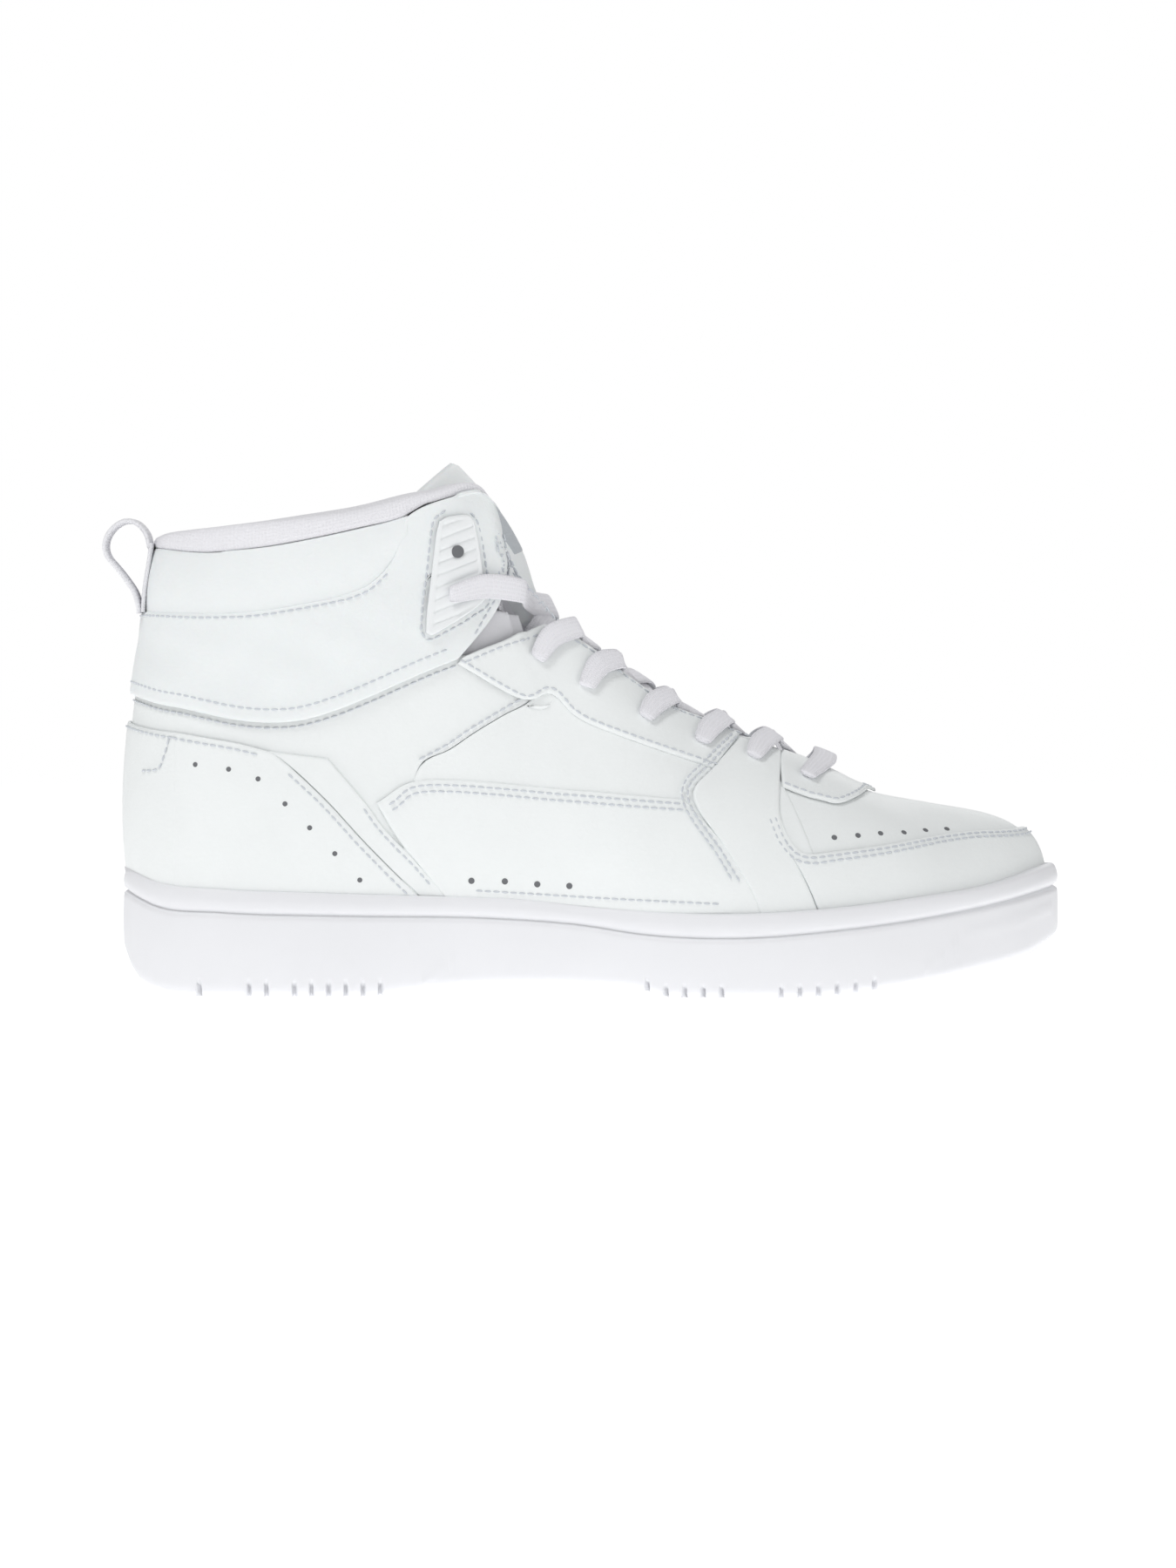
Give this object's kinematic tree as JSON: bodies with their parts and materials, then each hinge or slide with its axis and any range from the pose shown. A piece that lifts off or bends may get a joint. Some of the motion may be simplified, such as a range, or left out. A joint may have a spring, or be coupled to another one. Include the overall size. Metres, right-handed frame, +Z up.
{
  "type": "basketball high top",
  "caption": "Mid-cut lace-up basketball shoe with cupsole, padded collar, laced tongue, perforated overlays and heel pull tab; left foot.",
  "frame": {"origin": "on the ground, under the middle of the shoe's box", "axes": "+X towards the toe, +Y towards the outer side of the left foot, +Z up"},
  "size_m": [0.3036, 0.1128, 0.1686],
  "materials": {
    "upper_leather": "smooth white coated leather, fine grain",
    "soft_leather": "soft padded white leather, fine grain",
    "sole_rubber": "satin white rubber",
    "midsole_foam": "matt foam",
    "board": "pressed fibre board",
    "sockliner_foam": "textile-topped foam",
    "lining_textile": "plain woven lining",
    "collar_knit": "rounded knit",
    "padding_foam": "open cell foam",
    "lace_webbing": "flat woven polyester",
    "tab_webbing": "woven tape",
    "aglet_plastic": "clear wrapped film",
    "plate_moulded": "ribbed soft plastic",
    "patch_grey": "plain grey textile"
  },
  "bodies": {
    "shoe": {"outsole_cup": "sole_rubber", "midsole_wedge": "midsole_foam", "strobel_board": "board", "rear_quarter_medial": "upper_leather", "front_quarter_medial": "upper_leather", "heel_overlay_medial": "upper_leather", "side_strap_medial": "upper_leather", "side_panel_medial": "upper_leather", "saddle_medial": "upper_leather", "eyestay_medial": "upper_leather", "eyelet_plate_medial": "plate_moulded", "quarter_lining_medial": "lining_textile", "rear_quarter_lateral": "upper_leather", "front_quarter_lateral": "upper_leather", "heel_overlay_lateral": "upper_leather", "side_strap_lateral": "upper_leather", "side_panel_lateral": "upper_leather", "saddle_lateral": "upper_leather", "eyestay_lateral": "upper_leather", "eyelet_plate_lateral": "plate_moulded", "quarter_lining_lateral": "lining_textile", "heel_patch": "upper_leather", "ankle_panel": "upper_leather", "collar_panel": "soft_leather", "collar_foam": "padding_foam", "collar_lining": "collar_knit", "vamp": "upper_leather", "vamp_lining": "lining_textile", "mudguard": "upper_leather", "toe_puff": "board", "heel_counter": "board", "throat_stay": "upper_leather", "lace": "lace_webbing", "aglet_medial": "aglet_plastic", "aglet_lateral": "aglet_plastic", "pull_tab_base": "tab_webbing"},
    "tongue": {"tongue_face": "soft_leather", "tongue_foam": "padding_foam", "tongue_lining": "lining_textile", "tongue_patch": "patch_grey"},
    "pull_tab": {"pull_tab_loop": "tab_webbing"},
    "insole": {"sockliner": "sockliner_foam"}
  },
  "joints": [
    {"name": "tongue_tilt", "type": "hinge", "parent": "shoe", "child": "tongue", "pos_m": [0.08677, -0.00216, 0.0565], "axis": [0, -1, 0], "range_deg": [0, 9]},
    {"name": "pull_tab_bend", "type": "hinge", "parent": "shoe", "child": "pull_tab", "pos_m": [-0.13823, -0.00216, 0.1395], "axis": [0, 1, 0], "range_deg": [-10, 12], "stiffness_Nm_per_rad": 0.02},
    {"name": "insole_lift", "type": "hinge", "parent": "shoe", "child": "insole", "pos_m": [0.13877, -0.00216, 0.03], "axis": [0, 1, 0], "range_deg": [0, 5]}
  ]
}
